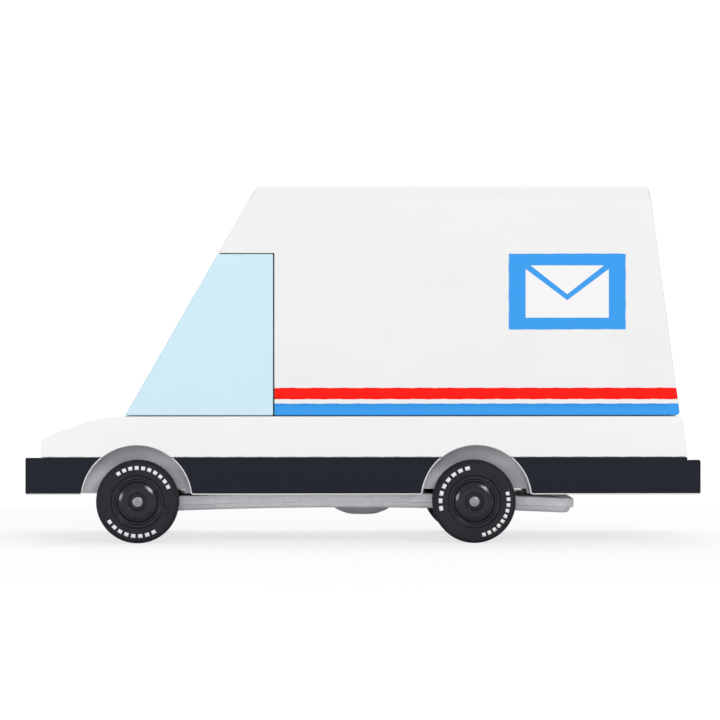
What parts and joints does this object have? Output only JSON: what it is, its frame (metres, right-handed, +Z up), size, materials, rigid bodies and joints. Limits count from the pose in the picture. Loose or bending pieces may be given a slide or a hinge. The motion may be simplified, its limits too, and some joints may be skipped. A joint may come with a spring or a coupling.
{
  "type": "toy mail delivery truck",
  "caption": "Palm-size wooden toy mail truck: painted blocks on a die-cast chassis that rolls on tyred wheels.",
  "frame": {"origin": "on the ground under the middle of the truck", "axes": "-X towards the nose, +Z up, -Y towards the truck's left side"},
  "size_m": [0.0762, 0.033, 0.0404],
  "materials": {
    "white_painted_wood": "satin white paint over fine-grained wood, with printed colour bands",
    "blue_painted_wood": "satin pale blue paint over fine-grained wood",
    "bare_wood": "unfinished dowel",
    "cast_zinc": "satin die-cast zinc alloy",
    "plated_steel": "plain plated steel",
    "black_hub_plastic": "moulded glossy black",
    "tyre_rubber": "matt black with pale printed dashes"
  },
  "bodies": {
    "body": {"lower_body": "white_painted_wood", "cargo_body": "white_painted_wood", "cab_block": "blue_painted_wood", "cargo_dowel_front": "bare_wood", "cargo_dowel_rear": "bare_wood", "cab_dowel_lower": "bare_wood", "cab_dowel_rear": "bare_wood", "chassis": "cast_zinc", "chassis_screw": "plated_steel"},
    "front_wheelset": {"front_axle": "plated_steel", "front_left_hub": "black_hub_plastic", "front_left_tyre": "tyre_rubber", "front_right_hub": "black_hub_plastic", "front_right_tyre": "tyre_rubber"},
    "rear_wheelset": {"rear_axle": "plated_steel", "rear_left_hub": "black_hub_plastic", "rear_left_tyre": "tyre_rubber", "rear_right_hub": "black_hub_plastic", "rear_right_tyre": "tyre_rubber"}
  },
  "joints": [
    {"name": "front_axle_spin", "type": "hinge", "parent": "body", "child": "front_wheelset", "pos_m": [-0.0255, 0, 0.00468], "axis": [0, 1, 0], "continuous": true},
    {"name": "rear_axle_spin", "type": "hinge", "parent": "body", "child": "rear_wheelset", "pos_m": [0.01255, 0, 0.00468], "axis": [0, 1, 0], "continuous": true}
  ]
}
